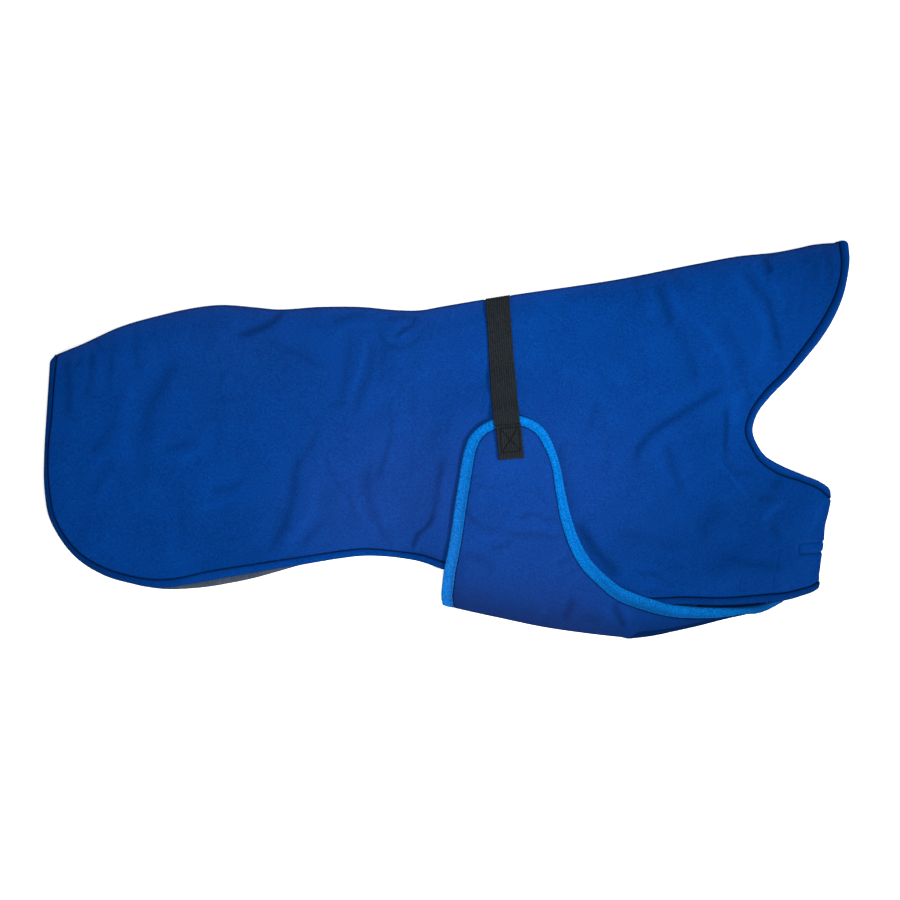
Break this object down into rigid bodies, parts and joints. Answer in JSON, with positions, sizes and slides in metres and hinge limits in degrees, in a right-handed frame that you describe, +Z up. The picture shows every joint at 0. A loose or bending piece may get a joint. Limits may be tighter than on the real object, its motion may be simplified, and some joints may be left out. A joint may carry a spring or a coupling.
{
  "type": "dog winter coat",
  "caption": "Dog's winter coat of napped softshell, laid flat and folded along its back, with a fleece-bound belly flap wrapped over its side and an elastic belt over the back.",
  "frame": {"origin": "on the surface that the coat lies on, under the middle of its outline", "axes": "+X along the coat towards the neck, +Y towards the back, +Z up off the surface, with the right side of the coat uppermost"},
  "size_m": [0.8373, 0.4145, 0.0189],
  "materials": {
    "softshell": "royal blue softshell with a fine matt nap, grey fleece on its back",
    "fleece_binding": "bright blue fleece, soft and matt",
    "elastic_webbing": "black ribbed elastic, faint sheen"
  },
  "bodies": {
    "root": {"side_panel_upper": "softshell", "side_panel_under": "softshell", "hem_band_upper": "softshell", "hem_band_under": "softshell", "neck_band_upper": "softshell", "neck_band_under": "softshell", "belly_flap_upper": "softshell", "belly_flap_under": "softshell", "belly_flap_front": "softshell", "flap_binding_upper": "fleece_binding", "flap_binding_under": "fleece_binding", "belt": "elastic_webbing"}
  },
  "joints": []
}
